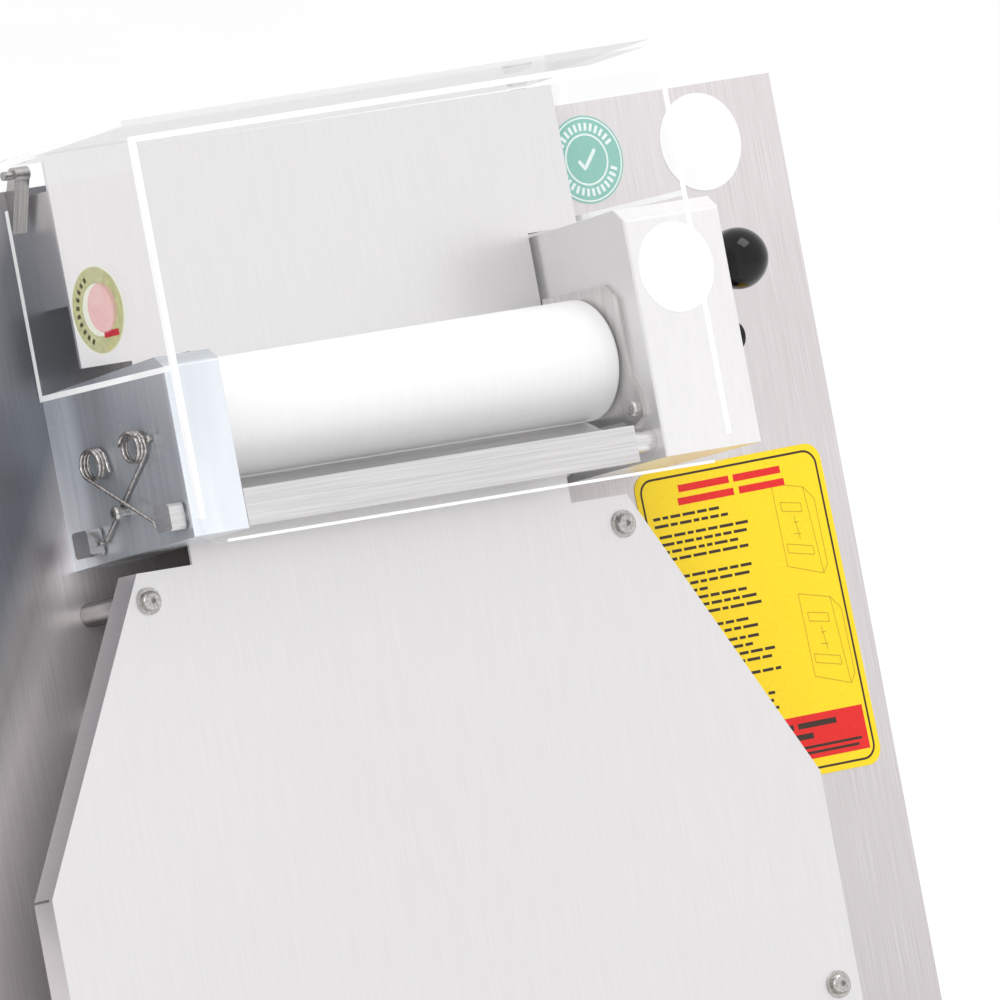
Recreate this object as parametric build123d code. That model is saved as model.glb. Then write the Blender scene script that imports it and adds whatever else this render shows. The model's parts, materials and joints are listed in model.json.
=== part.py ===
from build123d import *
from math import atan2, cos, degrees, hypot, pi, radians, sin
import os

# Double-pass dough sheeter: a leaning sheet-steel body with a short roller head
# at the top, a chute panel below it and a long roller head near the bottom.
# Millimetres.  X runs across the machine, the front faces -Y, Z is up.
#
# Pieces on the leaning face are built in a head frame: X across, "forward" out
# of the face (-Y) and "up" along the face, measured from the front roller's axis.

# ------------------------------------------------------------ driving dimensions
LEAN = 18                    # degrees the face leans back
BODY_WIDTH = 570
FACE_LENGTH = 620
TOP_DEPTH = 130              # top cover, square to the face
SHEET = 1.5
FOOT_HEIGHT = 25

ROLLER_RADIUS = 27.5
AXIS_GAP = 57.5              # between the two roller axes of a head
AXIS_OUT = 53                # front roller axis in front of the face
FRONT_OUT = 45               # bracket fronts in front of that axis
UPPER_AXIS = 502.4           # roller axes up the face
LOWER_AXIS = 96
UPPER_PLANES = (-111, 120)   # inner planes that the rollers run between
LOWER_PLANES = (-218, 208)
BRACKET_WIDTH = 30
HOUSING_WIDTH = 53
GAP_TRAVEL = (-1.5, 2.5)     # travel of the sliding front roller
RUNNING = 0.05               # radial clearance of a running fit

SHAFT_RADIUS = 10
CORE_RADIUS = 12
BEARING_RADIUS = 16
TOOTH_COUNT = 23
MODULE = 2.5
SPROCKET_RADIUS = 15
SPROCKET_TEETH = 12
DRIVE_OUT = -150             # drive shaft: forward of the face, and up the face
DRIVE_UP = 150
BAR_SIDE = 12                # square scraper bar
FRONT_BAR = (35, -41.5)      # its place: forward, up
REAR_BAR = (-31, -44.5)
HOOD_WALL = 3
PIVOT_RADIUS = 2
KNOB_RADIUS = 14
ARM_OUT = 62                 # crank arm from the housing's inner plane
BALL_OUT = 85                # ball knob from the same plane
BALL_AT = (8, 34)            # ball knob from the crank's axis: forward, up

FACE = Pos(0, 0, FOOT_HEIGHT) * Rot(-LEAN, 0, 0)
UPPER = FACE * Pos(0, -AXIS_OUT, UPPER_AXIS)
LOWER = FACE * Pos(0, -AXIS_OUT, LOWER_AXIS)

pieces = {}


def put(node, place, *solids):
    """Keep a node: its solids, moved from their own frame to the machine's."""
    pieces[node] = [place * solid for solid in solids]


# ------------------------------------------------------------------ plain shapes
def middle(pair):
    return (pair[0] + pair[1]) / 2


def block(x, forward, up):
    """Box between pairs of limits."""
    size = [abs(pair[1] - pair[0]) for pair in (x, forward, up)]
    return Pos(middle(x), -middle(forward), middle(up)) * Box(*size)


def bar(x0, x1, forward, up, radius):
    """Round bar across the machine."""
    return Pos(middle((x0, x1)), -forward, up) * Rot(0, 90, 0) * Cylinder(radius, abs(x1 - x0))


def stud(x, up, forward0, forward1, radius):
    """Round bar square to the face."""
    turned = Rot(90, 0, 0) * Cylinder(radius, abs(forward1 - forward0))
    return Pos(x, -middle((forward0, forward1)), up) * turned


def across(x0, x1, sketch):
    """Solid across the machine from a sketch whose axes are -forward and up."""
    return Pos(x0, 0, 0) * extrude(Plane.YZ * sketch, amount=x1 - x0, dir=(1, 0, 0))


def side_outline(points):
    """Sketch of a side view, from (forward, up) points."""
    return make_face(Polyline(*[(-forward, up) for forward, up in points], close=True))


def front_plate_of(points, forward0, forward1, corner=0):
    """Solid parallel to the face from (x, up) points, with rounded corners."""
    sketch = make_face(Polyline(*points, close=True))
    if corner:
        sketch = fillet(sketch.vertices(), corner)
    back = min(forward0, forward1)
    return Pos(0, -back, 0) * extrude(Plane.XZ * sketch, amount=abs(forward1 - forward0), dir=(0, -1, 0))


def strip(x0, x1, start, end, thickness):
    """Flat strip across the machine, seen edge-on from start to end."""
    run, rise = end[0] - start[0], end[1] - start[1]
    half = thickness / 2 / hypot(run, rise)
    side = (-rise * half, run * half)
    points = [(start[0] + side[0], start[1] + side[1]), (end[0] + side[0], end[1] + side[1]),
              (end[0] - side[0], end[1] - side[1]), (start[0] - side[0], start[1] - side[1])]
    return across(x0, x1, side_outline(points))


def toothed_disc(x0, x1, teeth, root, tip, root_share, tip_share, turn):
    """Gear or sprocket on the head's axis: straight-sided teeth on a disc."""
    points = []
    step = 2 * pi / teeth
    for tooth in range(teeth):
        centre = tooth * step + radians(turn)
        for radius, share in ((root, -root_share), (tip, -tip_share), (tip, tip_share), (root, root_share)):
            angle = centre + share * step / 2
            points.append((radius * cos(angle), radius * sin(angle)))
    return across(x0, x1, make_face(Polyline(*points, close=True)))


def button_head(radius, height, socket):
    """Button screw head standing on Z = 0, with a hexagon socket."""
    head = Cylinder(radius, height, align=(Align.CENTER, Align.CENTER, Align.MIN))
    head = fillet(head.edges().sort_by(Axis.Z)[-1], height * 0.6)
    hexagon = extrude(RegularPolygon(socket, 6), amount=height)
    return head - Pos(0, 0, height * 0.4) * hexagon


# -------------------------------------------------------------------------- body
def face_point(forward, up):
    """Machine-frame (y, z) of a point given forward of the face and up along it."""
    y = -forward * cos(radians(LEAN)) + up * sin(radians(LEAN))
    z = FOOT_HEIGHT + forward * sin(radians(LEAN)) + up * cos(radians(LEAN))
    return y, z


TOP_FRONT = face_point(0, FACE_LENGTH)
TOP_REAR = face_point(-TOP_DEPTH, FACE_LENGTH)
BODY_DEPTH = TOP_REAR[0]
HALF = BODY_WIDTH / 2


def front_plate():
    """Face sheet with a window for each rear roller and its two ends."""
    plate = block((-HALF, HALF), (-SHEET, 0), (0, FACE_LENGTH))
    for axis, (left, right) in ((UPPER_AXIS, UPPER_PLANES), (LOWER_AXIS, LOWER_PLANES)):
        plate -= block((left - 0.1, right + 0.1), (-SHEET - 1, 1), (axis - 36, axis + 29))
        plate -= block((left - 22, left), (-SHEET - 1, 1), (axis - 25, axis + 25))
        plate -= block((right, right + HOUSING_WIDTH - 4), (-SHEET - 1, 1), (axis - 46, axis + 46))
    return plate


def side_panel(sign):
    """Side sheet inside the front, top and back sheets, with a louvre field."""
    corners = [(0, FOOT_HEIGHT), TOP_FRONT, TOP_REAR, (BODY_DEPTH, FOOT_HEIGHT)]
    sketch = offset(make_face(Polyline(*corners, close=True)), -SHEET - 0.05, kind=Kind.INTERSECTION)
    foot = [(20, FOOT_HEIGHT), (20, FOOT_HEIGHT + 5), (BODY_DEPTH - 5, FOOT_HEIGHT + 5),
            (BODY_DEPTH - 5, FOOT_HEIGHT)]
    sketch += make_face(Polyline(*foot, close=True))
    inner = sign * HALF - (SHEET if sign > 0 else 0)
    panel = across(inner, inner + SHEET, sketch)
    for row in range(7):
        slot = Pos(sign * HALF, 225, 70 + 12 * row) * Box(4 * SHEET, 90, 4)
        panel -= slot
    return panel


def back_cover():
    """Upright back sheet with louvre slots and the window of the power inlet."""
    top = TOP_REAR[1] - SHEET / cos(radians(LEAN)) - 0.6
    cover = Box(BODY_WIDTH, SHEET, top - FOOT_HEIGHT)
    cover = Pos(0, BODY_DEPTH - SHEET / 2, (FOOT_HEIGHT + top) / 2) * cover
    for column in (-110, 110):
        for row in range(8):
            cover -= Pos(column, BODY_DEPTH, 170 + 14 * row) * Box(130, 4 * SHEET, 5)
    cover -= Pos(*INLET_AT) * Box(30, 40, 24)
    return cover


INLET_AT = (-200, BODY_DEPTH, 90)
FOOT_PLACES = [(sign * 245, y) for sign in (-1, 1) for y in (38, BODY_DEPTH - 38)]


def rubber_foot():
    """Turned rubber foot, wider at the top."""
    return Cone(17, 20, FOOT_HEIGHT, align=(Align.CENTER, Align.CENTER, Align.MIN))


def case_screws():
    """Button-head screws that hold the side and back sheets."""
    screws = []
    for sign in (-1, 1):
        for y, z in ((60, 45), (180, 45), (290, 45), (290, 300), (290, 520), (215, 565), (140, 330)):
            screws.append(Pos(sign * HALF, y, z) * Rot(0, 90 * sign, 0) * button_head(4, 2.2, 1.3))
    for x in (-265, 0, 265):
        for z in (45, 300, 550):
            screws.append(Pos(x, BODY_DEPTH, z) * Rot(-90, 0, 0) * button_head(4, 2.2, 1.3))
    return screws


put("front_plate", FACE, front_plate())
put("left_side_panel", Pos(), side_panel(-1))
put("right_side_panel", Pos(), side_panel(1))
put("top_cover", FACE, block((-HALF, HALF), (-TOP_DEPTH, -SHEET), (FACE_LENGTH - SHEET, FACE_LENGTH)))
put("back_cover", Pos(), back_cover())
put("base_plate", Pos(), Pos(0, BODY_DEPTH / 2 + 2, FOOT_HEIGHT + 1)
    * Box(BODY_WIDTH - 2 * SHEET - 0.2, BODY_DEPTH - 8, 2))
put("rubber_feet", Pos(), *[Pos(x, y, 0) * rubber_foot() for x, y in FOOT_PLACES])
put("case_screws", Pos(), *case_screws())


# ----------------------------------------------------------------- chute panel
PANEL_CENTRE = -5
PANEL_TOP = -62              # up, from the upper roller axis
PANEL_WIDEST = -199
PANEL_BOTTOM = -307
PANEL_TOP_HALF = 135.75
PANEL_HALF = 213
TONGUE_HALF = 105
TONGUE_TOP = -36
PANEL_FRONT = -6             # forward, from the upper roller axis
FLANGE = 14.5
CHUTE_SCREWS = [(-132, -75), (131, -75), (-201, -295), (201, -295)]
SPACERS = [(-128, -121), (128, -121)]


def panel_outline(inset):
    """Half-hexagon outline of the panel, as (x, up) points."""
    side = PANEL_HALF - inset
    top = PANEL_TOP_HALF - inset * 1.15
    return [(PANEL_CENTRE - side, PANEL_BOTTOM), (PANEL_CENTRE + side, PANEL_BOTTOM),
            (PANEL_CENTRE + side, PANEL_WIDEST), (PANEL_CENTRE + top, PANEL_TOP),
            (PANEL_CENTRE - top, PANEL_TOP), (PANEL_CENTRE - side, PANEL_WIDEST)]


def chute_panel():
    """Folded sheet: flat front, tongue at the top, side flanges turned back."""
    back = PANEL_FRONT - FLANGE
    folded = front_plate_of(panel_outline(0), PANEL_FRONT, back)
    hollow = front_plate_of(panel_outline(SHEET), PANEL_FRONT - SHEET, back - 1)
    open_ends = block((PANEL_CENTRE - PANEL_TOP_HALF + 1.8, PANEL_CENTRE + PANEL_TOP_HALF - 1.8),
                      (PANEL_FRONT - SHEET, back - 1), (PANEL_TOP - 3, PANEL_TOP + 1))
    open_ends += block((PANEL_CENTRE - PANEL_HALF + SHEET, PANEL_CENTRE + PANEL_HALF - SHEET),
                       (PANEL_FRONT - SHEET, back - 1), (PANEL_BOTTOM - 1, PANEL_BOTTOM + 3))
    panel = folded - hollow - open_ends
    for sign in (-1, 1):
        side = PANEL_CENTRE + sign * PANEL_HALF
        fold_gap = (PANEL_WIDEST - 0.6, PANEL_WIDEST + 0.6)
        panel -= block((side - 3, side + 3), (PANEL_FRONT - 2.5, back - 1), fold_gap)
    panel += block((PANEL_CENTRE - TONGUE_HALF, PANEL_CENTRE + TONGUE_HALF),
                   (PANEL_FRONT - SHEET, PANEL_FRONT), (PANEL_TOP - 1, TONGUE_TOP))
    for x, up in CHUTE_SCREWS:
        panel -= stud(PANEL_CENTRE + x, up, PANEL_FRONT - 4, PANEL_FRONT + 1, 2.6)
    return panel


def chute_fasteners():
    """Standoffs, washers with screws, and spacers with nuts, as lists of solids."""
    standoffs, screws, spacers = [], [], []
    for x, up in CHUTE_SCREWS:
        x += PANEL_CENTRE
        standoffs.append(stud(x, up, -AXIS_OUT, PANEL_FRONT - SHEET, 5.5))
        washer = stud(x, up, PANEL_FRONT, PANEL_FRONT + 1, 6.25)
        screws.append(washer - stud(x, up, PANEL_FRONT - 1, PANEL_FRONT + 2, 2.6))
        screws.append(Pos(x, -PANEL_FRONT - 1, up) * Rot(90, 0, 0) * button_head(4.6, 2.8, 1.5))
    for x, up in SPACERS:
        x += PANEL_CENTRE
        spacers.append(stud(x, up, -AXIS_OUT, PANEL_FRONT - 20, 5))
        nut = extrude(Plane.XZ * RegularPolygon(4.6, 6), amount=5)
        spacers.append(Pos(x, -(PANEL_FRONT - 20), up) * nut)
    return standoffs, screws, spacers


standoffs, panel_screws, spacers = chute_fasteners()
put("chute_panel", UPPER, chute_panel())
put("chute_standoffs", UPPER, *standoffs)
put("chute_screws", UPPER, *panel_screws)
put("chute_spacers", UPPER, *spacers)


# -------------------------------------------------------------------- stickers
LABEL_LOW = (168.5, -201)    # lower left corner: x, up from the upper roller axis
LABEL_SIZE = (105, 148)
LABEL_TILT = 1.4             # degrees it was stuck on askew, about its upper left corner
LABEL_HINGE = (LABEL_LOW[0], 0, LABEL_LOW[1] + LABEL_SIZE[1])
STICKER = 0.3


def disc_sticker(x, up, forward, radius):
    return stud(x, up, forward, forward + STICKER, radius)


label_points = [(LABEL_LOW[0] + a * LABEL_SIZE[0], LABEL_LOW[1] + b * LABEL_SIZE[1])
                for a, b in ((0, 0), (1, 0), (1, 1), (0, 1))]
label = front_plate_of(label_points, -AXIS_OUT, -AXIS_OUT + STICKER, 8)
askew = Pos(*LABEL_HINGE) * Rot(0, -LABEL_TILT, 0) * Pos(*LABEL_HINGE).inverse()
put("instruction_label", UPPER * askew, label)
put("check_sticker", UPPER, disc_sticker(176.5, 91.5, -AXIS_OUT, 20))
put("round_sticker", UPPER, disc_sticker(240.5, 91.5, -AXIS_OUT, 22.25))


# ---------------------------------------------------------------- roller heads
def rounded_front(solid):
    """Break the front face's four edges."""
    edges = [edge for edge in solid.edges() if edge.center().Y < -FRONT_OUT + 0.6]
    return fillet(edges, 1.2)


def left_bracket(left):
    """Milled left cheek with pockets for the bearings and bores for the scrapers."""
    outer = left - BRACKET_WIDTH
    outline = [(-AXIS_OUT, -55), (FRONT_OUT, -52), (FRONT_OUT, 24.5), (38.3, 30), (-AXIS_OUT, 24.5)]
    cheek = rounded_front(across(outer, left, side_outline(outline)))
    cheek += block((outer + 9, left - 0.2), (-80, -AXIS_OUT), (-24, 24))
    cheek -= block((left - 17, left + 1), (-19.3, 19.8), (-17.3, 17.3))
    cheek -= bar(left - 10, left + 1, -AXIS_GAP, 0, BEARING_RADIUS)
    cheek -= bar(left - 14, left + 1, -AXIS_GAP, 0, SHAFT_RADIUS + 1)
    for forward, up in (FRONT_BAR, REAR_BAR):
        cheek -= bar(outer - 1, left + 1, forward, up, 5 + RUNNING)
    return cheek


def right_housing(right):
    """Cast gear housing, open towards the body, with a thick bearing wall."""
    outline = [(-AXIS_OUT, -52.5), (FRONT_OUT, -50.5), (FRONT_OUT, 56.5), (38.3, 62.5), (-AXIS_OUT, 58.5)]
    room = [(-AXIS_OUT - 5, -48), (FRONT_OUT - 4, -46), (FRONT_OUT - 4, 54), (36, 58), (-AXIS_OUT - 5, 54)]
    housing = rounded_front(across(right, right + HOUSING_WIDTH, side_outline(outline)))
    housing -= across(right + 12, right + HOUSING_WIDTH - 4, side_outline(room))
    housing += block((right + 2.5, right + 12), (-80, -AXIS_OUT), (-24, 24))
    housing -= block((right - 1, right + 13), (-19.3, 19.8), (-17.3, 17.3))
    housing -= bar(right + 1, right + 13, -AXIS_GAP, 0, BEARING_RADIUS)
    housing -= bar(right - 1, right + 2, -AXIS_GAP, 0, SHAFT_RADIUS + 1)
    housing -= bar(right + HOUSING_WIDTH - 5, right + HOUSING_WIDTH + 1, 0, 0, 7 + RUNNING)
    for forward, up in (FRONT_BAR, REAR_BAR):
        housing -= bar(right - 1, right + 9, forward, up, 5 + RUNNING)
    return housing


def end_plate(x0, x1, screw_x, turn):
    """Thin retainer plate behind a roller's end, with its two screws."""
    outline = [(-40, -31), (20, -31), (24, -36), (36, -30), (36, -20), (32, -12), (32, 24), (24, 31),
               (-40, 31)]
    sketch = side_outline(outline)
    sketch = fillet(sketch.vertices(), 3)
    plate = across(x0, x1, sketch)
    for travel in GAP_TRAVEL:
        plate -= bar(x0 - 1, x1 + 1, travel, 0, SHAFT_RADIUS + 1)
    plate -= block((x0 - 1, x1 + 1), (-41, -30), (-28, 16))
    screws = [Pos(screw_x, -forward, up) * Rot(0, turn, 0) * button_head(3.6, 1.9, 1.2)
              for forward, up in ((29.5, -26), (-33, 24))]
    return [plate] + screws


def bearing(x0, x1):
    """Rear roller bearing, as one ring."""
    ring = bar(x0, x1, -AXIS_GAP, 0, BEARING_RADIUS)
    return ring - bar(x0 - 1, x1 + 1, -AXIS_GAP, 0, SHAFT_RADIUS + RUNNING)


def sliding_bearing(x0, x1):
    """Square bearing block that carries the front roller in its slot."""
    return block((x0, x1), (-17, 17), (-17, 17)) - bar(x0 - 1, x1 + 1, 0, 0, SHAFT_RADIUS + RUNNING)


def roller_sleeve(left, right, forward):
    """White plastic roller body."""
    sleeve = bar(left + 2.5, right - 2.5, forward, 0, ROLLER_RADIUS)
    sleeve = fillet(sleeve.edges().filter_by(GeomType.CIRCLE), 2.5)
    return sleeve - bar(left, right, forward, 0, CORE_RADIUS)


def roller_shaft(left, right, forward, left_end, right_end, turn):
    """Steel core with journals, and its keyed spur gear as a second solid."""
    core = bar(left + 2.5, right - 2.5, forward, 0, CORE_RADIUS)
    core += bar(left_end, right_end, forward, 0, SHAFT_RADIUS)
    pitch = MODULE * TOOTH_COUNT / 2
    gear = toothed_disc(right + 14, right + 28, TOOTH_COUNT, pitch - 4.2, pitch + 2, 0.6, 0.26, turn)
    gear -= bar(right + 13, right + 29, 0, 0, SHAFT_RADIUS)
    return [core, Pos(0, -forward, 0) * gear]


def sprocket(x0, x1, forward, up, bore):
    disc = toothed_disc(x0, x1, SPROCKET_TEETH, SPROCKET_RADIUS - 3, SPROCKET_RADIUS, 0.8, 0.35, 0)
    disc -= bar(x0 - 1, x1 + 1, 0, 0, bore)
    return Pos(0, -forward, up) * disc


def scraper(left, right, bar_at, tip, section):
    """Ground bar of the given section with a thin blade, journals and a square outer end."""
    forward, up = bar_at
    outer = left - BRACKET_WIDTH
    half = BAR_SIDE / 2
    behind, before, below, above = section
    body = block((left + 2.5, right - 12), (forward - behind, forward + before), (up - below, up + above))
    body += bar(outer - 3, left + 6, forward, up, 5) + bar(right - 15, right + 8, forward, up, 5)
    end = block((outer - 9, outer - 1), (forward - half, forward + half), (up - half, up + half))
    body += chamfer(end.edges().filter_by(Axis.X), 1.2)
    return body + strip(left + 3.5, right - 12, bar_at, tip, 1.2)


def torsion_spring(outer, coil, near, far, hand):
    """Wire spring: three closed turns, one leg close to the bracket and one further out."""
    level = 1.5
    wire = 0.9
    mean = 6.6
    spring = None
    for turn in range(3):
        ring = Pos(outer - level - 1.7 * turn, -coil[0], coil[1]) * Rot(0, 90, 0) * Torus(mean, wire)
        spring = ring if spring is None else spring + ring
    for x, end in ((outer - level - 3.4, far), (outer - level, near)):
        run, rise = end[0] - coil[0], end[1] - coil[1]
        length = hypot(run, rise)
        side = hand * mean / length
        start = (coil[0] + rise * side, coil[1] - run * side)
        away = (end[0] - start[0], end[1] - start[1])
        leg = Pos(x, -start[0], start[1]) * Rot(degrees(atan2(away[0], away[1])), 0, 0)
        spring += leg * Cylinder(wire, hypot(*away), align=(Align.CENTER, Align.CENTER, Align.MIN))
    return spring


def spring_screw(outer, forward, up, shank, out, head):
    """Screw standing out of the left bracket beside the springs."""
    stem = Cylinder(shank, out + 0.2, align=(Align.CENTER, Align.CENTER, Align.MIN))
    screw = stem + Pos(0, 0, out) * button_head(head, 0.7 * head, 0.4 * head)
    return Pos(outer, -forward, up) * Rot(0, -90, 0) * screw


def crank(right):
    """Gap crank: stepped shaft with a small cam inside, an arm and black knobs."""
    neck = right + ARM_OUT + 8
    tilt = degrees(atan2(BALL_AT[0], BALL_AT[1]))
    arm = Cylinder(4, hypot(*BALL_AT), align=(Align.CENTER, Align.CENTER, Align.MIN))
    shaft = bar(right + 34, neck, 0, 0, 7) + bar(right + 33, right + 38, 2, 0, 11)
    shaft += bar(neck - 1, neck + 10, 0, 0, 4)
    shaft += Pos(right + ARM_OUT, 0, 0) * Rot(tilt, 0, 0) * arm
    shaft += bar(right + ARM_OUT - 4, right + BALL_OUT - 4, *BALL_AT, 4)
    ball = Pos(right + BALL_OUT, -BALL_AT[0], BALL_AT[1]) * Sphere(KNOB_RADIUS)
    cap = bar(neck, neck + 13, 0, 0, 6)
    return [shaft], [ball - shaft, cap - shaft]


def drive_chain(right, axis_up):
    """Closed loop of chain round a head's sprocket and its mate on the drive shaft."""
    run = -DRIVE_OUT - (AXIS_GAP - AXIS_OUT)
    rise = DRIVE_UP - axis_up
    span = hypot(run, rise)
    outer = SlotCenterToCenter(span, 2 * (SPROCKET_RADIUS + 3.4))
    inner = SlotCenterToCenter(span, 2 * (SPROCKET_RADIUS + 0.4))
    loop = Rot(0, 0, degrees(atan2(rise, run))) * (outer - inner)
    solid = across(right + 37, right + 43, loop)
    return Pos(0, AXIS_GAP - AXIS_OUT + run / 2, axis_up + rise / 2) * solid


heads = (("upper", UPPER, UPPER_AXIS, UPPER_PLANES), ("lower", LOWER, LOWER_AXIS, LOWER_PLANES))
end_plates, rear_bearings, chains, spring_screws = [], [], [], []
for name, place, axis_up, (left, right) in heads:
    put(name + "_left_bracket", place, left_bracket(left))
    put(name + "_right_housing", place, right_housing(right))
    plates = end_plate(right - 2, right, right - 2, -90) + end_plate(left, left + 2, left + 2, 90)
    end_plates += [place * solid for solid in plates]
    rings = [bearing(left - 10, left - 1), bearing(right + 1, right + 10)]
    rear_bearings += [place * ring for ring in rings]
    put(name + "_sliding_bearings", place, sliding_bearing(left - 16.5, left - 0.5),
        sliding_bearing(right + 0.5, right + 11.5))
    put(name + "_front_roller", place, roller_sleeve(left, right, 0))
    put(name + "_front_shaft", place, *roller_shaft(left, right, 0, left - 15.5, right + 30, 0))
    put(name + "_rear_roller", place, roller_sleeve(left, right, -AXIS_GAP))
    rear = roller_shaft(left, right, -AXIS_GAP, left - 12, right + 46, 0)
    rear.append(sprocket(right + 36, right + 44, -AXIS_GAP, 0, SHAFT_RADIUS))
    put(name + "_rear_shaft", place, *rear)
    put(name + "_front_scraper", place, scraper(left, right, FRONT_BAR, (5, -28.3), (6, 6, 9, 7.5)))
    put(name + "_rear_scraper", place, scraper(left, right, REAR_BAR, (-54, -28.4), (6, 1, 6, 6)))
    outer = left - BRACKET_WIDTH
    front_hook = (FRONT_BAR[0] - 8, FRONT_BAR[1] - 2)
    rear_hook = (REAR_BAR[0] + 8, REAR_BAR[1] - 1)
    put(name + "_front_spring", place, torsion_spring(outer, (-17.5, -10.5), (-10, -3), front_hook, 1))
    put(name + "_rear_spring", place, torsion_spring(outer, (15, -7), rear_hook, (23, 1), -1))
    spring_screws.append(place * spring_screw(outer, -3, -34.2, 2, 6, 3.4))
    spring_screws.append(place * spring_screw(outer, 24, -4.8, 1, 1, 1.7))
    lever, knob = crank(right)
    put(name + "_gap_lever", place, *lever)
    put(name + "_lever_knob", place, *knob)
    chains.append(FACE * drive_chain(right, axis_up))
put("roller_end_plates", Pos(), *end_plates)
put("rear_bearings", Pos(), *rear_bearings)
put("drive_chains", Pos(), *chains)
put("spring_screws", Pos(), *spring_screws)
put("housing_cap", UPPER, disc_sticker(UPPER_PLANES[1] + 24, 33, FRONT_OUT, 20.5))


# ---------------------------------------------------------------- infeed plates
def upper_infeed_plate():
    """Stepped guide sheet above the upper nip, with two flanges back to the face."""
    left, right = UPPER_PLANES
    points = [(left + 2.5, 22), (right - 2.5, 22), (right - 2.5, 61.5), (right + 25, 61.5),
              (right + 25, 126), (left - 25, 127), (left - 25, 33), (left + 2.5, 33)]
    plate = front_plate_of(points, -27, -25.5)
    for x in (left - 19, right + 13.5):
        plate += block((x, x + SHEET), (-AXIS_OUT, -26.5), (62, 114))
    return plate


def lower_infeed_plate():
    """Bent guide sheet that leads the dough off the face into the lower nip."""
    left, right = LOWER_PLANES
    slope = strip(left + 2.5, right - 2.5, (-52.2, 64), (-27.5, 24), SHEET)
    return slope + block((left + 2.5, right - 2.5), (-AXIS_OUT, -AXIS_OUT + SHEET), (63, 73))


put("upper_infeed_plate", UPPER, upper_infeed_plate())
put("lower_infeed_plate", LOWER, lower_infeed_plate())


# ------------------------------------------------------------------ hood, guard
UPPER_PIVOT = (-45, 124)     # forward, up
LOWER_PIVOT = (6, 80)
COVER_FRONT = 56.5
COVER_CORNER = 10            # radius of the front wall's lower corners


def clear_cover(left, right, outline, pivot, relief):
    """Bent clear shell: front wall down to the scrapers, short side walls, and notches in
    its rear edge that clear the lugs as it swings up."""
    x0 = left - BRACKET_WIDTH - 0.5 - HOOD_WALL
    x1 = right + 29
    sketch = side_outline(outline)
    shell = across(x0, x1, sketch)
    outside = [edge for edge in shell.edges().filter_by(Axis.X)
               if edge.center().Y < -FRONT_OUT - 5 and edge.center().Z > 0]
    shell = fillet(outside, 1.5)
    inner = offset(sketch, -HOOD_WALL, kind=Kind.INTERSECTION)
    inside = across(x0 + HOOD_WALL, x1 - HOOD_WALL, inner)
    shell -= inside
    lowest, highest = min(up for _, up in outline), max(up for _, up in outline)
    back, front = min(forward for forward, _ in outline), COVER_FRONT - HOOD_WALL
    shell -= block((x0 + HOOD_WALL, x1 - HOOD_WALL), (back - 1, front), (lowest - 1, lowest + 20))
    shell -= block((x0 + HOOD_WALL, x1 - HOOD_WALL), (back - 1, back + 4), (lowest - 1, pivot[1] + 3.4))
    shell -= block((x0 - 1, x0 + 20), (back - 1, front), (lowest - 1, 22))
    shell -= block((right - 20, x1 + 1), (back - 1, front), (lowest - 1, 63.5))
    for edge, centre in ((x0 - 1, x0 + COVER_CORNER), (x1 + 1, x1 - COVER_CORNER)):
        corner = block((edge, centre), (front - 1, front + 5), (lowest - 1, lowest + COVER_CORNER))
        shell -= corner - stud(centre, lowest + COVER_CORNER, front - 2, front + 6, COVER_CORNER)
    shell -= bar(x0 - 1, x0 + 20, pivot[0], pivot[1], PIVOT_RADIUS + RUNNING)
    shell -= bar(x1 - 20, x1 + 1, pivot[0], pivot[1], PIVOT_RADIUS + RUNNING)
    for lug_x in (x0 + HOOD_WALL + 1, x1 - HOOD_WALL - 9):
        shell -= block((lug_x - 1, lug_x + 9), (back - 1, pivot[0] + relief), (pivot[1], highest + 5))
    return shell


def cover_lugs(left, right, pivot, foot_low, foot_high):
    """Two steel lugs on the face, each with its pivot pin turned outwards."""
    lugs = []
    wall = left - BRACKET_WIDTH - 0.5
    for x0, pin in ((wall + 1, (wall - HOOD_WALL - 1, wall + 2)),
                    (right + 29 - HOOD_WALL - 9, (right + 29 - HOOD_WALL - 2, right + 30))):
        arm = [(-AXIS_OUT, foot_low), (pivot[0] + 1.5, pivot[1] - 3), (pivot[0] - 1.5, pivot[1] + 2.8),
               (-AXIS_OUT, foot_high)]
        lug = across(x0, x0 + 8, side_outline(arm)) + bar(x0, x0 + 8, pivot[0], pivot[1], 3.3)
        lug += bar(pin[0], pin[1], pivot[0], pivot[1], PIVOT_RADIUS)
        lugs.append(lug)
    return lugs


hood_outline = [(COVER_FRONT, -57), (COVER_FRONT, 127.5), (51.5, 135.5), (-50, 130.7), (-50, -57)]
guard_outline = [(COVER_FRONT, -57), (COVER_FRONT, 80), (51.5, 88), (5, 87), (5, -57)]
put("upper_hood", UPPER, clear_cover(*UPPER_PLANES, hood_outline, UPPER_PIVOT, 0))
put("lower_guard", LOWER, clear_cover(*LOWER_PLANES, guard_outline, LOWER_PIVOT, 5))
hood_lugs = [UPPER * lug for lug in cover_lugs(*UPPER_PLANES, UPPER_PIVOT, 98, 115)]
guard_arms = [LOWER * arm for arm in cover_lugs(*LOWER_PLANES, LOWER_PIVOT, 70, 88)]
put("cover_lugs", Pos(), *hood_lugs, *guard_arms)
hood_left = UPPER_PLANES[0] - BRACKET_WIDTH - 0.5 - HOOD_WALL
put("hood_sticker", UPPER, bar(hood_left - STICKER, hood_left, 8, 56, 20))


# -------------------------------------------------------------- drive, controls
SHAFT_Y, SHAFT_Z = face_point(DRIVE_OUT, DRIVE_UP)
MOTOR_RADIUS = 60
BASE_TOP = FOOT_HEIGHT + 2
BUTTON_Y = 190
START_Z = 440
STOP_Z = 395


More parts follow.
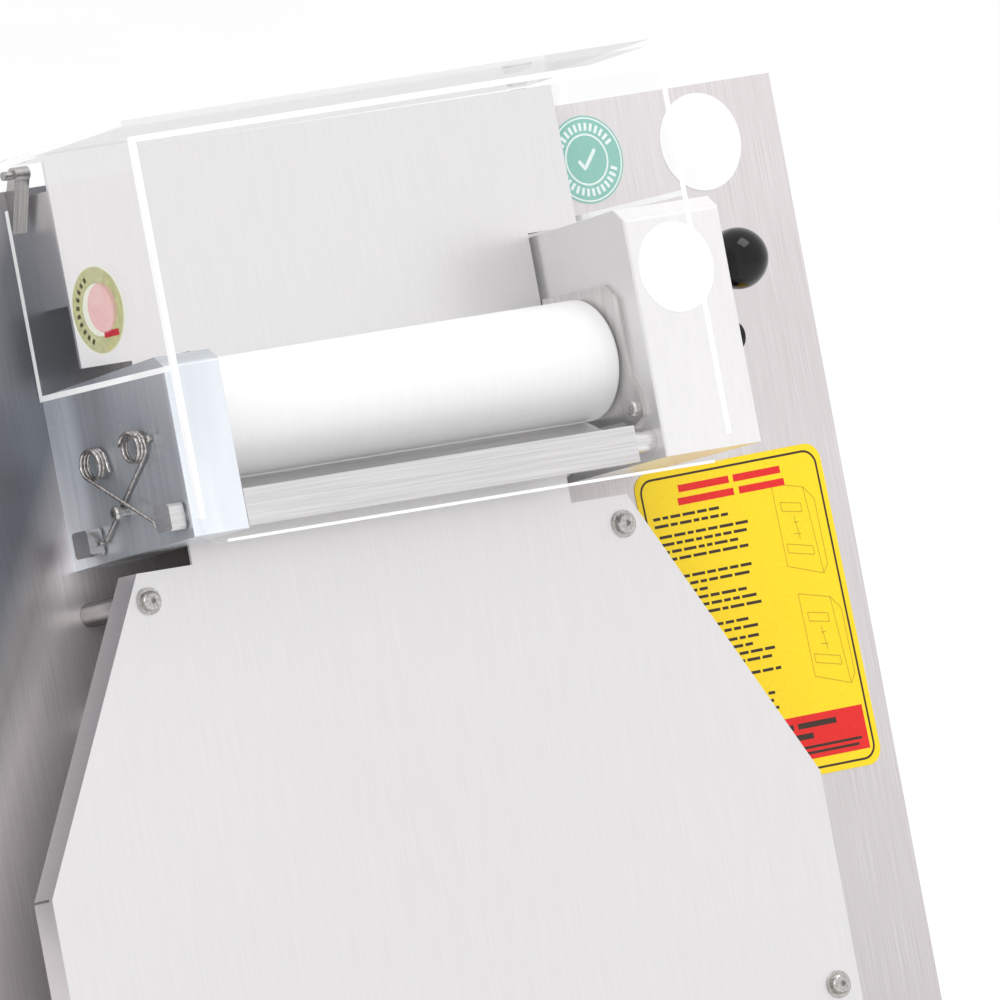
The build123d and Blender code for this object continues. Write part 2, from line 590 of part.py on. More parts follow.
def motor():
    """Finned single-phase motor with a fan cover and a terminal box."""
    body = Pos(0, SHAFT_Y, SHAFT_Z) * Rot(0, 90, 0) * Cylinder(MOTOR_RADIUS - 5, 170)
    for index in range(24):
        fin = Rot(15 * index, 0, 0) * Pos(0, 0, MOTOR_RADIUS - 4) * Box(150, 3, 8)
        body += Pos(0, SHAFT_Y, SHAFT_Z) * fin
    body += Pos(-95, SHAFT_Y, SHAFT_Z) * Rot(0, 90, 0) * Cylinder(MOTOR_RADIUS, 45)
    body += Pos(0, SHAFT_Y, SHAFT_Z + MOTOR_RADIUS + 12) * Box(80, 60, 34)
    return Pos(-45, 0, 0) * body


def gearbox():
    """Worm gearbox on two feet, with the output shaft's bore through it."""
    box = Pos(80, SHAFT_Y, SHAFT_Z) * Box(80, 110, 104)
    box = fillet(box.edges().filter_by(Axis.X), 12)
    box += Pos(80, SHAFT_Y, (BASE_TOP + SHAFT_Z - 50) / 2) * Box(80, 100, SHAFT_Z - 50 - BASE_TOP)
    box += Pos(80, SHAFT_Y, BASE_TOP + 4) * Box(80, 140, 8)
    return box - Pos(100, SHAFT_Y, SHAFT_Z) * Rot(0, 90, 0) * Cylinder(SHAFT_RADIUS + RUNNING, 60)


def outboard_bearing():
    """Pedestal that holds the drive shaft's free end."""
    right = LOWER_PLANES[1]
    pedestal = Pos(right + 56, SHAFT_Y, (BASE_TOP + SHAFT_Z) / 2) * Box(14, 50, SHAFT_Z - BASE_TOP)
    pedestal += Pos(right + 56, SHAFT_Y, SHAFT_Z) * Rot(0, 90, 0) * Cylinder(25, 14)
    bore = Rot(0, 90, 0) * Cylinder(SHAFT_RADIUS + RUNNING, 20)
    return pedestal - Pos(right + 56, SHAFT_Y, SHAFT_Z) * bore


def drive_shaft():
    """Output shaft with one sprocket for each head."""
    start, end = 90, LOWER_PLANES[1] + 64
    solids = [bar(start, end, DRIVE_OUT, DRIVE_UP, SHAFT_RADIUS)]
    for _, right in (UPPER_PLANES, LOWER_PLANES):
        solids.append(sprocket(right + 36, right + 44, DRIVE_OUT, DRIVE_UP, SHAFT_RADIUS))
    return solids


def switch_box():
    """Open-backed box behind the right side panel, with two guide collars."""
    x1 = HALF - SHEET - 0.1
    box = Pos(x1 - 22, BUTTON_Y, (START_Z + STOP_Z) / 2) * Box(44, 50, 105)
    box -= Pos(x1 - 21, BUTTON_Y, (START_Z + STOP_Z) / 2) * Box(46, 44, 99)
    plate = Pos(x1 - 1, BUTTON_Y, (START_Z + STOP_Z) / 2) * Box(2, 50, 105)
    for z in (START_Z, STOP_Z):
        plate += Pos(x1 - 10, BUTTON_Y, z) * Rot(0, 90, 0) * Cylinder(13, 18)
        plate += Pos(x1 + 2, BUTTON_Y, z) * Rot(0, 90, 0) * Cylinder(14.5, 8)
        plate -= Pos(x1 - 8, BUTTON_Y, z) * Rot(0, 90, 0) * Cylinder(11.1, 40)
    return box + plate


def push_button(z, proud, radius):
    """Button stem with a flat or mushroom head."""
    collar = HALF + 4.4
    stem = Pos(collar + proud / 2 - 9, BUTTON_Y, z) * Rot(0, 90, 0) * Cylinder(11, 18 + proud)
    head = Pos(collar + proud, BUTTON_Y, z) * Rot(0, 90, 0) * Cylinder(radius, 5)
    return stem + head


def power_inlet():
    """Appliance inlet with three flat pins, let into the back cover."""
    x, y, z = INLET_AT
    body = Pos(x, y + 1, z) * Box(48, 2, 28)
    body += Pos(x, y - 12, z) * Box(29.5, 24, 23.5)
    body -= Pos(x, y - 7, z) * Box(24, 20, 17)
    for dx, dz in ((-7, -2), (0, 3), (7, -2)):
        body += Pos(x + dx, y - 14, z + dz) * Box(2, 12, 4)
    return body


put("motor", Pos(), motor())
put("gearbox", Pos(), gearbox())
put("outboard_bearing", Pos(), outboard_bearing())
put("drive_shaft", FACE, *drive_shaft())
put("switch_box", Pos(), switch_box())
put("start_button", Pos(), push_button(START_Z, 2.5, 11))
put("stop_button", Pos(), push_button(STOP_Z, 6.5, 14))
put("power_inlet", Pos(), power_inlet())

# The side panel's window for the two push buttons.
for z in (START_Z, STOP_Z):
    window = Pos(HALF, BUTTON_Y, z) * Rot(0, 90, 0) * Cylinder(14.6, 10)
    pieces["right_side_panel"] = [solid - window for solid in pieces["right_side_panel"]]

# ------------------------------------------------------------------------ export
# The origin is the middle of the machine's footprint, on the floor.
boxes = [solid.bounding_box() for solids in pieces.values() for solid in solids]
low = [min(getattr(box.min, side) for box in boxes) for side in "XYZ"]
high = [max(getattr(box.max, side) for box in boxes) for side in "XYZ"]
ORIGIN_SHIFT = Pos(-middle((low[0], high[0])), -middle((low[1], high[1])), -low[2])

os.makedirs("parts", exist_ok=True)
for node, solids in pieces.items():
    moved = [ORIGIN_SHIFT * one for solid in solids for one in solid.solids()]
    export_step(moved[0] if len(moved) == 1 else Compound(children=moved), f"parts/{node}.step")
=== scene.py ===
import json
import math

import bpy
import numpy as np
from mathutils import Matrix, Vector


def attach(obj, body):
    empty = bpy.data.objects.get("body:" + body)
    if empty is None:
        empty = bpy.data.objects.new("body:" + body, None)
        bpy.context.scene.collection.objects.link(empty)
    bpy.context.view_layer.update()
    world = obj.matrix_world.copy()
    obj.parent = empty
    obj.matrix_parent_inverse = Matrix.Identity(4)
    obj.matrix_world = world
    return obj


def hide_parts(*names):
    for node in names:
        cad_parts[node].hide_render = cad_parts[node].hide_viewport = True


# Double-pass dough sheeter: a leaning stainless body, a short roller head under a
# clear hood, a chute panel, and a long roller head under a clear guard.
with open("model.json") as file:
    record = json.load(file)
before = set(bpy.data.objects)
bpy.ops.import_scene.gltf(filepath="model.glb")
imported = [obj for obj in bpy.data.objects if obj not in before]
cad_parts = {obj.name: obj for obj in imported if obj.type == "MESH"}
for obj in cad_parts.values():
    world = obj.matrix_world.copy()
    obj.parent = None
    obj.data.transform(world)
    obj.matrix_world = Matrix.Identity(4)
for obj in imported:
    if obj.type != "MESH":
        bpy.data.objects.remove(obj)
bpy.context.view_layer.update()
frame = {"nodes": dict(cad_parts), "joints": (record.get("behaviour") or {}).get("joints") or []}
nodes = frame["nodes"]


# ---------------------------------------------------------------- room and camera
# A plain pale floor under an even white light, with one large soft light high over
# the front and a weaker one on the left.
def srgb(red, green, blue):
    """Linear colour of a paint chip: each share to the power 2.4, the darkest part straight."""
    share = np.array([red, green, blue]) / 255
    linear = np.where(share <= 0.04045, share / 12.92, ((share + 0.055) / 1.055) ** 2.4)
    return tuple(float(value) for value in linear)


def grid_faces(rows, columns, round_rows=False, round_columns=False):
    """Quads between neighbours of a rows by columns grid, joined up where it runs round."""
    row = np.arange(rows if round_rows else rows - 1)[:, None]
    column = np.arange(columns if round_columns else columns - 1)[None, :]
    below, beside = (row + 1) % rows, (column + 1) % columns
    quads = [row * columns + column, below * columns + column,
             below * columns + beside, row * columns + beside]
    return np.stack(np.broadcast_arrays(*quads), -1).reshape(-1, 4)


def mesh_piece(name, points, faces, finish, smooth=True):
    """An object with its place in its mesh, from an array of points and rows of corners."""
    mesh = bpy.data.meshes.new(name)
    mesh.from_pydata(points.reshape(-1, 3).tolist(), [], [[int(corner) for corner in face] for face in faces])
    mesh.polygons.foreach_set("use_smooth", np.full(len(mesh.polygons), smooth))
    mesh.materials.append(finish)
    mesh.update()
    made = bpy.data.objects.new(name, mesh)
    bpy.context.scene.collection.objects.link(made)
    return made


def surface(name, light, dark, rough, metal=0.0, grain=(60, 60, 60), lean=0.0, relief=0.0, wear=3.0,
            share=0.7):
    """A finish: grain stretched by its three scales, after a turn about X, runs between two tones
    and stands up by relief metres, while broad wear marks change how rough the surface is and,
    with the grain's share against them, its tone."""
    material = bpy.data.materials.new(name)
    material.use_nodes = True
    tree = material.node_tree
    shader = tree.nodes["Principled BSDF"]
    shader.inputs["Metallic"].default_value = metal
    place = tree.nodes.new("ShaderNodeTexCoord").outputs["Object"]
    turned = tree.nodes.new("ShaderNodeMapping")
    turned.inputs["Rotation"].default_value = (lean, 0, 0)
    stretched = tree.nodes.new("ShaderNodeMapping")
    stretched.inputs["Scale"].default_value = grain
    fine, broad = (tree.nodes.new("ShaderNodeTexNoise") for _ in range(2))
    fine.inputs["Scale"].default_value = 1.0
    fine.inputs["Detail"].default_value = 4.0
    broad.inputs["Scale"].default_value = wear
    broad.inputs["Detail"].default_value = 5.0
    tone = tree.nodes.new("ShaderNodeMix")
    tone.inputs[0].default_value = share
    spread = tree.nodes.new("ShaderNodeMapRange")
    spread.inputs["From Min"].default_value, spread.inputs["From Max"].default_value = 0.3, 0.7
    colour = tree.nodes.new("ShaderNodeMix")
    colour.data_type = "RGBA"
    colour.name = "tone"
    colour.inputs["A"].default_value = (*dark, 1)
    colour.inputs["B"].default_value = (*light, 1)
    gloss = tree.nodes.new("ShaderNodeMapRange")
    gloss.inputs["From Min"].default_value, gloss.inputs["From Max"].default_value = 0.35, 0.65
    gloss.inputs["To Min"].default_value, gloss.inputs["To Max"].default_value = rough
    bump = tree.nodes.new("ShaderNodeBump")
    bump.inputs["Distance"].default_value = relief
    for start, end in ((place, turned.inputs[0]), (turned.outputs[0], stretched.inputs[0]),
                       (stretched.outputs[0], fine.inputs["Vector"]), (place, broad.inputs["Vector"]),
                       (broad.outputs[0], tone.inputs[2]), (fine.outputs[0], tone.inputs[3]),
                       (tone.outputs[0], spread.inputs["Value"]), (spread.outputs[0], colour.inputs[0]),
                       (colour.outputs["Result"], shader.inputs["Base Color"]),
                       (broad.outputs[0], gloss.inputs["Value"]),
                       (gloss.outputs[0], shader.inputs["Roughness"])):
        tree.links.new(start, end)
    if relief:
        tree.links.new(fine.outputs[0], bump.inputs["Height"])
        tree.links.new(bump.outputs[0], shader.inputs["Normal"])
    return material


def tone_along(material, direction, stops):
    """Multiplies a finish's colour by tones given at distances in metres along a direction."""
    tree = material.node_tree
    shader = tree.nodes["Principled BSDF"]
    before = shader.inputs["Base Color"].links[0].from_socket
    dot = tree.nodes.new("ShaderNodeVectorMath")
    dot.operation = "DOT_PRODUCT"
    dot.inputs[1].default_value = direction
    first, last = stops[0][0], stops[-1][0]
    reach = tree.nodes.new("ShaderNodeMapRange")
    reach.inputs["From Min"].default_value, reach.inputs["From Max"].default_value = first, last
    ramp = tree.nodes.new("ShaderNodeValToRGB")
    ramp.color_ramp.elements.remove(ramp.color_ramp.elements[1])
    for index, (distance, tone) in enumerate(stops):
        at = (distance - first) / (last - first)
        stop = ramp.color_ramp.elements[0] if index == 0 else ramp.color_ramp.elements.new(at)
        stop.position = at
        stop.color = (*([tone] * 3 if isinstance(tone, (int, float)) else tone), 1)
    times = tree.nodes.new("ShaderNodeMix")
    times.data_type, times.blend_type = "RGBA", "MULTIPLY"
    times.inputs[0].default_value = 1.0
    tree.links.new(tree.nodes["Texture Coordinate"].outputs["Object"], dot.inputs[0])
    tree.links.new(dot.outputs["Value"], reach.inputs["Value"])
    tree.links.new(reach.outputs[0], ramp.inputs[0])
    tree.links.new(before, times.inputs["A"])
    tree.links.new(ramp.outputs[0], times.inputs["B"])
    tree.links.new(times.outputs["Result"], shader.inputs["Base Color"])


def finish_nodes(material, *names):
    """Gives CAD nodes a finish."""
    for name in names:
        slots = nodes[name].data.materials
        slots.clear()
        slots.append(material)


floor_paint = surface("floor_paint", (0.96, 0.96, 0.96), (0.93, 0.93, 0.93), (0.75, 0.9), grain=(4, 4, 4))
FLOOR_REACH = 30             # metres each way
FLOOR_LINES = 31
FLOOR_DROP = 0.0005          # below the feet
floor_line = np.linspace(-FLOOR_REACH, FLOOR_REACH, FLOOR_LINES)
floor_x, floor_y = np.meshgrid(floor_line, floor_line)
floor_points = np.stack([floor_x, floor_y, np.full_like(floor_x, -FLOOR_DROP)], -1)
floor_quads = grid_faces(FLOOR_LINES, FLOOR_LINES)[:, ::-1]
studio_floor = mesh_piece("studio_floor", floor_points, floor_quads, floor_paint)

world = bpy.data.worlds.new("studio_light")
world.use_nodes = True
world.node_tree.nodes["Background"].inputs["Color"].default_value = (1, 1, 1, 1)
world.node_tree.nodes["Background"].inputs["Strength"].default_value = 1.0
bpy.context.scene.world = world
bpy.context.scene.view_settings.view_transform = "Standard"


def soft_light(name, place, aim, size, watts):
    """A square soft light at a place, turned to an aim."""
    lamp = bpy.data.lights.new(name, "AREA")
    lamp.size, lamp.energy = size, watts
    lamp_object = bpy.data.objects.new(name, lamp)
    lamp_object.location = place
    lamp_object.rotation_euler = (Vector(aim) - Vector(place)).to_track_quat("-Z", "Y").to_euler()
    bpy.context.scene.collection.objects.link(lamp_object)


soft_light("key_light", (0.5, -0.9, 3.0), (0, 0, 0.4), 1.4, 22)
soft_light("side_light", (-2.6, -0.4, 1.6), (-0.1, 0, 0.5), 1.2, 10)

# The head frame: across the machine, forward out of the face, and up along it.
LEAN = math.radians(18)
FORWARD = np.array([0, -math.cos(LEAN), math.sin(LEAN)])
UP = np.array([0, math.sin(LEAN), math.cos(LEAN)])
axis_at = {joint["name"]: np.array(joint.get("pos_m") or (0, 0, 0)) for joint in frame["joints"]}
HEADS = {name: axis_at[name + "_gap_lever_turn"] for name in ("upper", "lower")}


def in_head(head, across, forward, up):
    """Points in metres from millimetres across, forward and up, from a head's front roller axis."""
    across, forward, up = np.broadcast_arrays(across, forward, up)
    moved = forward[..., None] * FORWARD + up[..., None] * UP + across[..., None] * np.array([1, 0, 0])
    return HEADS[head] + moved / 1000


camera_data = bpy.data.cameras.new("camera")
camera_data.lens, camera_data.sensor_width = 1460, 36    # a long lens, mm
camera_data.clip_start, camera_data.clip_end = 1, 80     # metres
camera = bpy.data.objects.new("camera", camera_data)
bpy.context.scene.collection.objects.link(camera)
bpy.context.scene.camera = camera
turn, rise, distance = math.radians(-36.43), math.radians(12.74), 18.12
back = np.array([math.sin(turn) * math.cos(rise), -math.cos(turn) * math.cos(rise), math.sin(rise)])
right = np.array([math.cos(turn), math.sin(turn), 0])
ROLLER_MIDDLE = 4.5          # across
AIM_RIGHT, AIM_DOWN = 0.05278, 0.0479                    # metres from the roller's middle
aim = in_head("upper", ROLLER_MIDDLE, 0, 0) + AIM_RIGHT * right - AIM_DOWN * np.cross(back, right)
camera.location = aim + distance * back
camera.rotation_euler = Vector(-back).to_track_quat("-Z", "Y").to_euler()

# ------------------------------------------------------------------------- body
# Brushed stainless sheet, 1.5 mm, folded and screwed over a base plate; the grain runs up the face and along
# the sides. A band of painted shade, with a painted highlight strip beside it, leans across the face's upper
# left, and the face is painted a little darker towards its foot and brighter towards its top.
face_sheet = surface("brushed_face", srgb(224, 219, 220), srgb(196, 190, 191), (0.26, 0.4), 0.62,
                     (2600, 1, 22), LEAN, 0.00003)
SHADE_BAND_LEAN = 0.6              # how far the painted shade band leans over for each metre up
shade_band_from = -SHADE_BAND_LEAN * float(HEADS["upper"] @ UP)
# painted shade: a dark band across the face's upper left, with a painted highlight strip up to 1.35 times
# brighter beside it
tone_along(face_sheet, tuple(np.array([1, 0, 0]) - SHADE_BAND_LEAN * UP),
           [(shade_band_from - 0.36, 1.0), (shade_band_from - 0.24, 1.0), (shade_band_from - 0.208, (0.28, 0.31, 0.34)),
            (shade_band_from - 0.155, (0.24, 0.27, 0.3)), (shade_band_from - 0.135, 0.55), (shade_band_from - 0.12, 1.35),
            (shade_band_from - 0.1, 1.3), (shade_band_from - 0.05, 1.1), (shade_band_from, 1.0), (shade_band_from + 0.5, 1.0)])
# painted light: the face a little darker towards its foot and brighter towards its top
tone_along(face_sheet, tuple(UP), [(0.05, 0.93), (0.4, 1.01), (0.62, 1.12)])
finish_nodes(face_sheet, "front_plate")
case_sheet = surface("brushed_case", srgb(205, 203, 204), srgb(172, 170, 172), (0.28, 0.45), 1.0,
                     (1800, 14, 1800), 0.0, 0.00003)
finish_nodes(case_sheet, "left_side_panel", "right_side_panel", "base_plate")
cover_sheet = surface("brushed_cover", srgb(210, 208, 209), srgb(180, 178, 180), (0.28, 0.45), 1.0,
                      (14, 1800, 1800), 0.0, 0.00003)
finish_nodes(cover_sheet, "top_cover", "back_cover")

# Black moulded rubber feet with a dusty bloom, and bright zinc button screws that
# hold the side and back sheets.
foot_rubber = surface("foot_rubber", srgb(46, 45, 44), srgb(22, 22, 22), (0.65, 0.85), 0.0,
                      (500, 500, 500), relief=0.0001)
finish_nodes(foot_rubber, "rubber_feet")
bright_zinc = surface("bright_zinc", srgb(214, 212, 208), srgb(150, 148, 146), (0.16, 0.3), 1.0,
                      (900, 900, 900), relief=0.00002)
finish_nodes(bright_zinc, "case_screws", "chute_screws", "spring_screws")

# ------------------------------------------------------------------ chute panel
# Satin stainless sheet with narrow folded flanges, on four turned standoffs; the
# dough slides between it and the face.  White spacers with nuts keep the gap.
satin_sheet = surface("satin_panel", srgb(233, 231, 232), srgb(226, 224, 225), (0.3, 0.42), 1.0,
                      (1400, 1, 30), LEAN, 0.00001, wear=2.0)
finish_nodes(satin_sheet, "chute_panel")
turned_steel = surface("turned_steel", srgb(200, 198, 196), srgb(120, 118, 118), (0.18, 0.34), 1.0,
                       (1500, 40, 40), relief=0.00003)
finish_nodes(turned_steel, "chute_standoffs", "cover_lugs", "rear_bearings", "drive_shaft")
for head in HEADS:
    finish_nodes(turned_steel, head + "_sliding_bearings", head + "_front_shaft", head + "_rear_shaft",
                 head + "_gap_lever")
spacer_plastic = surface("white_spacer", srgb(238, 238, 236), srgb(220, 220, 218), (0.4, 0.55), 0.0,
                         (300, 300, 300), relief=0.00003)
finish_nodes(spacer_plastic, "chute_spacers")

# ------------------------------------------------------------ instruction label
# Yellow printed vinyl, stuck on slightly askew: a black rounded border, plain bars
# for lines of print, two faint line drawings and a red field at the foot.
label_vinyl = surface("label_vinyl", srgb(252, 220, 2), srgb(246, 208, 0), (0.34, 0.46), 0.0,
                      (700, 700, 700), relief=0.00001, wear=12)
finish_nodes(label_vinyl, "instruction_label")
LABEL_CORNER = (168.5, -53)  # its upper left corner, mm across and up
LABEL_TILT = math.radians(1.4)
LABEL_FRONT = -52.7          # forward


def on_label(right_by, down_by, proud):
    """Head points from mm right of and below the label's upper left corner, and proud of it."""
    across = LABEL_CORNER[0] + right_by * math.cos(LABEL_TILT) + down_by * math.sin(LABEL_TILT)
    up = LABEL_CORNER[1] + right_by * math.sin(LABEL_TILT) - down_by * math.cos(LABEL_TILT)
    return in_head("upper", across, LABEL_FRONT + proud, up)


BOX_FACES = np.array([(0, 1, 2, 3), (7, 6, 5, 4), (0, 4, 5, 1), (1, 5, 6, 2), (2, 6, 7, 3), (3, 7, 4, 0)])


def flat_bars(place, starts, ends, width, proud):
    """Flat bars between pairs of points on a print surface: each is a low box whose long
    sides lie half a width to either side of the line, given one width or one for each."""
    starts, ends = np.asarray(starts, float), np.asarray(ends, float)
    run = ends - starts
    half = np.asarray(width).reshape(-1, 1) / 2 * np.stack([-run[:, 1], run[:, 0]], -1)
    half = half / np.hypot(run[:, 0], run[:, 1])[:, None]
    ring = np.stack([starts - half, ends - half, ends + half, starts + half], 1)
    layers = [place(ring[..., 0], ring[..., 1], height) for height in (proud, 0.0)]
    points = np.concatenate(layers, 1).reshape(-1, 3)
    faces = (np.arange(len(starts))[:, None, None] * 8 + BOX_FACES).reshape(-1, 4)
    return points, faces


def closed_band(place, line, width, proud):
    """A flat band along a closed line: at each point the four corners of a low section, its
    width along the line's normal."""
    ahead = np.roll(line, -1, 0) - np.roll(line, 1, 0)
    normal = np.stack([-ahead[:, 1], ahead[:, 0]], -1) / np.hypot(ahead[:, 0], ahead[:, 1])[:, None]
    corners = []
    for side, height in ((-0.5, 0.0), (-0.5, proud), (0.5, proud), (0.5, 0.0)):
        edge = line + side * width * normal
        corners.append(place(edge[:, 0], edge[:, 1], height))
    return np.stack(corners, 1).reshape(-1, 3), grid_faces(len(line), 4, True, True)


def merged(*parts):
    """One mesh's points and faces from several."""
    offsets = np.cumsum([0] + [len(points) for points, _ in parts[:-1]])
    return np.concatenate([points for points, _ in parts]), \
        np.concatenate([faces + offset for (_, faces), offset in zip(parts, offsets)])


def printed(name, part, ink, body):
    """A print layer that rides on the body under it, its faces turned outwards."""
    layer = mesh_piece(name, part[0], part[1], ink, smooth=False)
    bpy.context.view_layer.objects.active = layer
    layer.select_set(True)
    bpy.ops.object.mode_set(mode="EDIT")
    bpy.ops.mesh.select_all(action="SELECT")
    bpy.ops.mesh.normals_make_consistent(inside=False)
    bpy.ops.object.mode_set(mode="OBJECT")
    layer.select_set(False)
    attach(layer, body)
    return layer


def rounded_frame(width, height, inset, corner):
    """Closed line of a rounded rectangle: quarter circles of points, joined by straight runs."""
    angles = np.radians(np.linspace(0, 90, 9))
    near = inset + corner
    centres = [(width - near, height - near, 0), (near, height - near, 90), (near, near, 180),
               (width - near, near, 270)]
    arcs = [np.stack([x + corner * np.cos(angles + math.radians(start)),
                      y + corner * np.sin(angles + math.radians(start))], -1) for x, y, start in centres]
    return np.concatenate(arcs)


# Print rows: how far down, how many lines, and where they start and end.
PARAGRAPHS = [(21.0, 2, 7.0, 56.0), (29.5, 4, 8.5, 62.0), (43.5, 1, 8.5, 22.0), (48.5, 2, 8.5, 64.0),
              (55.5, 1, 8.5, 42.0), (59.0, 3, 8.5, 64.0), (72.5, 2, 7.0, 60.0), (80.5, 4, 8.5, 62.0),
              (97.0, 1, 8.5, 64.0), (100.5, 2, 8.5, 40.0), (107.5, 3, 8.5, 64.0)]
words = np.random.RandomState(11)
word_starts, word_ends = [], []
for down, rows, left_end, right_end in PARAGRAPHS:
    for row in range(rows):
        lengths = words.uniform(3.0, 8.5, 12)
        stops = left_end + np.cumsum(lengths + 1.3)
        stops = stops[stops < right_end - words.uniform(0, 7)]
        level = down + 3.5 * row
        word_starts += [(stop - length - 1.3, level) for stop, length in zip(stops, lengths)]
        word_ends += [(stop - 1.3, level) for stop in stops]
black_ink = surface("label_black_ink", srgb(58, 34, 8), srgb(36, 22, 10), (0.4, 0.5), 0.0, (900, 900, 900))
LABEL_WIDTH, LABEL_HEIGHT = 105, 148
INK, TOP_INK = 0.05, 0.06    # how proud a print layer stands
border_line = rounded_frame(LABEL_WIDTH, LABEL_HEIGHT, inset=3.2, corner=6.5)
border = closed_band(on_label, border_line, width=1.0, proud=TOP_INK)
printed("label_print", merged(border, flat_bars(on_label, word_starts, word_ends, 1.35, INK)), black_ink,
        "frame")
red_ink = surface("label_red_ink", srgb(232, 22, 14), srgb(214, 12, 8), (0.36, 0.46), 0.0, (700, 700, 700))
heading_starts = [(24, 9.2), (55, 9.2), (22.5, 15), (57, 15)]
heading_ends = [(52.5, 9.2), (81.5, 9.2), (54, 15), (82.5, 15)]
heading_bars = flat_bars(on_label, heading_starts, heading_ends, 3.3, TOP_INK)
red_field = flat_bars(on_label, [(5.5, 130.4)], [(99.5, 130.4)], 20.0, TOP_INK)
printed("label_red_field", merged(heading_bars, red_field), red_ink, "frame")
foot_starts = [(38, 125), (62.5, 125), (40, 130), (22, 135), (61, 135), (22, 137.6), (53, 137.6)]
foot_ends = [(60, 125), (84, 125), (70, 130), (58, 135), (96, 135), (50, 137.6), (94, 137.6)]
foot_widths = np.array([2.6, 2.6, 2.6, 1.2, 1.2, 1.2, 1.2])


def on_red_field(right_by, down_by, proud):
    """Label points that stand on the red ink and not on the vinyl."""
    return on_label(right_by, down_by, proud + TOP_INK)


foot_bars = flat_bars(on_red_field, foot_starts, foot_ends, foot_widths, 0.03)
printed("label_foot_print", foot_bars, black_ink, "frame")
# Two plain outline drawings of a leaning case with its two openings.
case_lines = np.array([((2, 0), (2, 38)), ((2, 0), (19, 4)), ((19, 4), (21, 44)), ((2, 38), (21, 44)),
                       ((19, 4), (24, 10)), ((24, 10), (24, 40)), ((21, 44), (24, 40)), ((5, 9), (16, 11)),
                       ((5, 13), (16, 15)), ((5, 9), (5, 13)), ((16, 11), (16, 15)), ((4, 28), (18, 31)),
                       ((4, 32), (18, 35)), ((4, 28), (4, 32)), ((18, 31), (18, 35)), ((11, 16), (12, 27)),
                       ((10, 19), (13, 19)), ((9, 24), (13, 24.5))])
drawn = np.concatenate([case_lines + corner for corner in ((73, 15), (75.5, 66))])
faint_ink = surface("label_faint_ink", srgb(206, 176, 10), srgb(188, 158, 12), (0.4, 0.5), 0.0,
                    (900, 900, 900))
printed("label_drawings", flat_bars(on_label, drawn[:, 0], drawn[:, 1], 0.45, 0.04), faint_ink,
        "frame")

# --------------------------------------------------------------- round stickers
# A green inspection sticker with a white tick, two rings and plain dashes round its
# rim, and a blank white disc beside it; both are die-cut vinyl on the face.  The
# blank cap on the right housing is as white.
teal_vinyl = surface("teal_vinyl", srgb(116, 190, 176), srgb(100, 178, 163), (0.35, 0.5), 0.0,
                     (600, 600, 600), wear=20)
finish_nodes(teal_vinyl, "check_sticker")
white_vinyl = surface("white_vinyl", srgb(241, 241, 241), srgb(236, 236, 236), (0.35, 0.5), 0.0,
                      (600, 600, 600), wear=20)
finish_nodes(white_vinyl, "round_sticker", "housing_cap")
CHECK_AT = (176.5, 91.5)


def on_check(right_by, down_by, proud):
    """Head points from mm right of and below the inspection sticker's middle, and proud of it."""
    return in_head("upper", CHECK_AT[0] + right_by, LABEL_FRONT + proud, CHECK_AT[1] - down_by)


def circle(radius, count=72):
    """Closed circle of points."""
    angles = np.linspace(0, 2 * math.pi, count, endpoint=False)
    return np.stack([radius * np.cos(angles), radius * np.sin(angles)], -1)


dash_angles = np.radians(np.concatenate([np.arange(-158, -20, 11.0), np.arange(22, 160, 11.0)]))
dash = np.stack([np.cos(dash_angles), np.sin(dash_angles)], -1)
pale_print = surface("white_print", srgb(236, 246, 243), srgb(220, 236, 231), (0.4, 0.5), 0.0,
                     (700, 700, 700))
rings = [closed_band(on_check, circle(18.9), 0.7, INK), closed_band(on_check, circle(11.4), 0.9, INK)]
dashes = flat_bars(on_check, 13.2 * dash, 16.8 * dash, 1.5, INK)
tick = flat_bars(on_check, [(-4.6, 0.2), (-1.3, 3.6)], [(-1.3, 4.4), (5.2, -4.2)], 1.7, TOP_INK)
printed("check_print", merged(*rings, dashes, tick), pale_print, "frame")

# --------------------------------------------------------------- left brackets
# Milled aluminium cheeks that carry the rollers' left ends: bluish sides with a painted glare over their rear
# part and painted shade nearer the roller axis, satin fronts painted nearly white as a painted highlight,
# broken edges.
for head in HEADS:
    cheek = surface(head + "_milled_bracket", srgb(206, 210, 215), srgb(176, 181, 187), (0.2, 0.34), 0.7,
                    (60, 420, 12), LEAN, 0.00002, 9.0, 0.45)
    axis_forward = float(HEADS[head] @ FORWARD)
    # painted glare on the sides' rear part, painted shade near the axis and a painted highlight on the fronts
    tone_along(cheek, tuple(FORWARD), [(axis_forward - 0.06, 1.5), (axis_forward - 0.036, 1.5),
                                       (axis_forward - 0.027, 0.92), (axis_forward - 0.012, 0.8),
                                       (axis_forward + 0.004, 1.02), (axis_forward + 0.02, 0.98),
                                       (axis_forward + 0.038, 0.96), (axis_forward + 0.0435, 1.05),
                                       (axis_forward + 0.0447, 1.55), (axis_forward + 0.05, 1.55)])
    finish_nodes(cheek, head + "_left_bracket")

# ------------------------------------------------------------- torsion springs
# Drawn chrome wire, 1.8 mm: close turns with a short leg to its anchor and a long
# leg that crosses its neighbour and hooks behind the square end of a scraper bar.
spring_wire = surface("spring_wire", srgb(226, 222, 218), srgb(112, 108, 108), (0.14, 0.3), 1.0,
                      (700, 700, 700), relief=0.00002)
WIRE = 0.9                   # radius
COIL = 6.6                   # radius of a turn at the wire's middle
PITCH = 1.9                  # from turn to turn
TURNS = 2.6
STAND_OFF = 1.5              # of the nearest turn from the bracket
HOOK = 2.4                   # how far the hook turns out across the machine
BRACKET_SIDE = {"upper": -141.0, "lower": -248.0}        # across, outer faces


